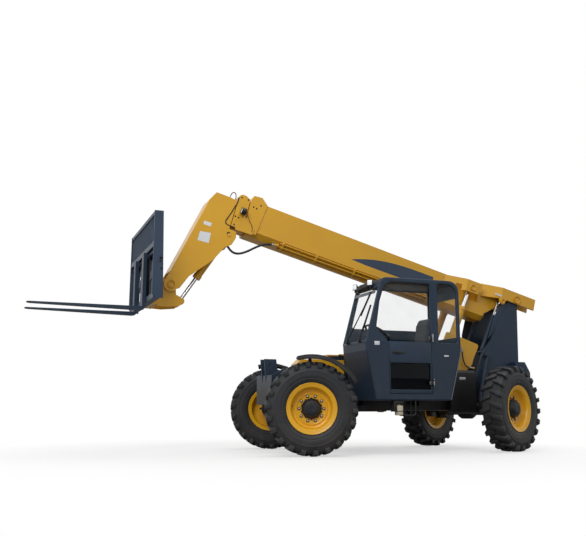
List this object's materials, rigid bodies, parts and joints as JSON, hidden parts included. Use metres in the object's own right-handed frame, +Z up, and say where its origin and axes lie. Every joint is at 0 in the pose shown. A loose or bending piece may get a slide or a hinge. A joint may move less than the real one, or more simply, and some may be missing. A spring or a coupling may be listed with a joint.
{
  "type": "telehandler",
  "caption": "Four-wheel-steer rough-terrain handler with a side cab, a raised telescopic boom and a tilting fork carriage.",
  "frame": {"origin": "on the ground, in the middle of the machine's length and width", "axes": "+X towards the forks, +Y to the machine's left (the cab side), +Z up"},
  "size_m": [8.2246, 2.8966, 3.9145],
  "materials": {
    "black_paint": "satin",
    "bottle_plastic": "satin",
    "brown_paint": "satin",
    "cast_grey": "cast",
    "glass": "clear",
    "grey_trim": "satin",
    "hose_rubber": "matte",
    "hub_navy": "satin",
    "lamp": "satin",
    "rod_chrome": "polished",
    "seat_fabric": "woven",
    "slate_paint": "satin",
    "steel": "satin",
    "tank_plastic": "satin",
    "tyre_rubber": "matte",
    "yellow_paint": "gloss"
  },
  "bodies": {
    "chassis": {"axle_lock_cylinder": "slate_paint", "axles": "black_paint", "boom_pivot_pin": "steel", "cab_console": "grey_trim", "cab_frame": "slate_paint", "cab_glass": "glass", "cab_panels": "slate_paint", "cab_step": "black_paint", "drive_shafts": "steel", "engine": "cast_grey", "engine_pod": "slate_paint", "fuel_tank": "tank_plastic", "gearbox": "brown_paint", "levelling_supports": "slate_paint", "lift_hose": "hose_rubber", "lift_supports": "yellow_paint", "main_frame": "slate_paint", "seat_cushions": "seat_fabric", "steering_wheel": "grey_trim", "valve_cover": "yellow_paint", "washer_bottle": "bottle_plastic", "work_lamps": "lamp"},
    "engine_hood": {"engine_hood": "yellow_paint"},
    "cab_door": {"cab_door": "slate_paint", "door_glass": "glass"},
    "boom": {"boom_outer": "yellow_paint", "boom_tubes": "steel"},
    "boom_middle": {"boom_mid": "yellow_paint", "boom_lamp": "lamp", "lamp_cable": "hose_rubber"},
    "boom_inner": {"boom_inner": "yellow_paint", "tilt_hose": "hose_rubber", "head_hose": "hose_rubber"},
    "lift_barrels": {"lift_barrels": "yellow_paint"},
    "lift_rods": {"lift_rods": "rod_chrome"},
    "levelling_barrels": {"levelling_barrels": "slate_paint"},
    "levelling_rods": {"levelling_rods": "rod_chrome"},
    "tilt_barrel": {"tilt_barrel": "yellow_paint"},
    "tilt_rod": {"tilt_rod": "rod_chrome"},
    "fork_carriage": {"coupler": "yellow_paint", "carriage": "slate_paint", "fork_tines": "slate_paint"},
    "knuckle_front_left": {"knuckle_front_left": "black_paint", "fender_front_left": "black_paint"},
    "wheel_front_left": {"tyre_front_left": "tyre_rubber", "rim_front_left": "yellow_paint", "hub_front_left": "hub_navy"},
    "knuckle_front_right": {"knuckle_front_right": "black_paint", "fender_front_right": "black_paint"},
    "wheel_front_right": {"tyre_front_right": "tyre_rubber", "rim_front_right": "yellow_paint", "hub_front_right": "hub_navy"},
    "knuckle_rear_left": {"knuckle_rear_left": "black_paint"},
    "wheel_rear_left": {"tyre_rear_left": "tyre_rubber", "rim_rear_left": "yellow_paint", "hub_rear_left": "hub_navy"},
    "knuckle_rear_right": {"knuckle_rear_right": "black_paint"},
    "wheel_rear_right": {"tyre_rear_right": "tyre_rubber", "rim_rear_right": "yellow_paint", "hub_rear_right": "hub_navy"}
  },
  "joints": [
    {"name": "boom_lift", "type": "hinge", "parent": "chassis", "child": "boom", "pos_m": [-3.72167, 0, 2.446], "axis": [0, -1, 0], "range_deg": [-18, 54]},
    {"name": "boom_extend_middle", "type": "slide", "parent": "boom", "child": "boom_middle", "axis": [0.9646, 0, 0.2639], "range_m": [0, 3.1]},
    {"name": "boom_extend_inner", "type": "slide", "parent": "boom_middle", "child": "boom_inner", "axis": [0.9646, 0, 0.2639], "range_m": [0, 3.1]},
    {"name": "carriage_tilt", "type": "hinge", "parent": "boom_inner", "child": "fork_carriage", "pos_m": [2.15263, 0, 2.40771], "axis": [0, 1, 0], "range_deg": [-30, 70]},
    {"name": "lift_barrel_swing", "type": "hinge", "parent": "chassis", "child": "lift_barrels", "pos_m": [-2.18267, 0, 1.12], "axis": [0, -1, 0], "range_deg": [-1.04, 2.12]},
    {"name": "lift_rod_slide", "type": "slide", "parent": "lift_barrels", "child": "lift_rods", "axis": [-0.4119, 0, 0.9112], "range_m": [-0.261, 0.7731]},
    {"name": "levelling_barrel_swing", "type": "hinge", "parent": "chassis", "child": "levelling_barrels", "pos_m": [-3.05467, 0, 1.56], "axis": [0, -1, 0], "range_deg": [-3.2, 1.4]},
    {"name": "levelling_rod_slide", "type": "slide", "parent": "levelling_barrels", "child": "levelling_rods", "axis": [-0.4055, 0, 0.9141], "range_m": [-0.0851, 0.2453]},
    {"name": "tilt_barrel_swing", "type": "hinge", "parent": "boom_inner", "child": "tilt_barrel", "pos_m": [1.29538, 0, 3.20683], "axis": [0, 1, 0], "range_deg": [-0.8, 1.2]},
    {"name": "tilt_rod_slide", "type": "slide", "parent": "tilt_barrel", "child": "tilt_rod", "axis": [0.5606, 0, -0.8281], "range_m": [-0.3226, 0.1411]},
    {"name": "steer_front_left", "type": "hinge", "parent": "chassis", "child": "knuckle_front_left", "pos_m": [0.25733, 0.85, 0.64448], "axis": [0, 0, 1], "range_deg": [-19, 57]},
    {"name": "wheel_front_left_spin", "type": "hinge", "parent": "knuckle_front_left", "child": "wheel_front_left", "pos_m": [0.32895, 1.05801, 0.64448], "axis": [0.3256, 0.9455, 0], "continuous": true},
    {"name": "steer_front_right", "type": "hinge", "parent": "chassis", "child": "knuckle_front_right", "pos_m": [0.25733, -0.85, 0.64448], "axis": [0, 0, 1], "range_deg": [-19, 57]},
    {"name": "wheel_front_right_spin", "type": "hinge", "parent": "knuckle_front_right", "child": "wheel_front_right", "pos_m": [0.1857, -1.05801, 0.64448], "axis": [0.3256, 0.9455, 0], "continuous": true},
    {"name": "steer_rear_left", "type": "hinge", "parent": "chassis", "child": "knuckle_rear_left", "pos_m": [-2.90267, 0.85, 0.64448], "axis": [0, 0, 1], "range_deg": [-62, 14]},
    {"name": "wheel_rear_left_spin", "type": "hinge", "parent": "knuckle_rear_left", "child": "wheel_rear_left", "pos_m": [-2.99215, 1.05098, 0.64448], "axis": [-0.4067, 0.9135, 0], "continuous": true},
    {"name": "steer_rear_right", "type": "hinge", "parent": "chassis", "child": "knuckle_rear_right", "pos_m": [-2.90267, -0.85, 0.64448], "axis": [0, 0, 1], "range_deg": [-62, 14]},
    {"name": "wheel_rear_right_spin", "type": "hinge", "parent": "knuckle_rear_right", "child": "wheel_rear_right", "pos_m": [-2.81319, -1.05098, 0.64448], "axis": [-0.4067, 0.9135, 0], "continuous": true},
    {"name": "cab_door_swing", "type": "hinge", "parent": "chassis", "child": "cab_door", "pos_m": [-1.58067, 1.168, 1.3], "axis": [0, 0, 1], "range_deg": [0, 110]},
    {"name": "engine_hood_lift", "type": "hinge", "parent": "chassis", "child": "engine_hood", "pos_m": [-1.24267, -0.363, 1.5], "axis": [-1, 0, 0], "range_deg": [0, 60]}
  ],
  "couplings": [
    {"joint": "boom_extend_inner", "follows": "boom_extend_middle", "ratio": 1},
    {"joint": "lift_barrel_swing", "follows": "boom_lift", "ratio": 0.03},
    {"joint": "lift_rod_slide", "follows": "boom_lift", "m_per_rad": 0.815},
    {"joint": "levelling_barrel_swing", "follows": "boom_lift", "ratio": -0.05},
    {"joint": "levelling_rod_slide", "follows": "boom_lift", "m_per_rad": 0.255},
    {"joint": "tilt_barrel_swing", "follows": "carriage_tilt", "ratio": 0.01},
    {"joint": "tilt_rod_slide", "follows": "carriage_tilt", "m_per_rad": -0.26},
    {"joint": "steer_front_right", "follows": "steer_front_left", "ratio": 1},
    {"joint": "steer_rear_right", "follows": "steer_rear_left", "ratio": 1}
  ]
}
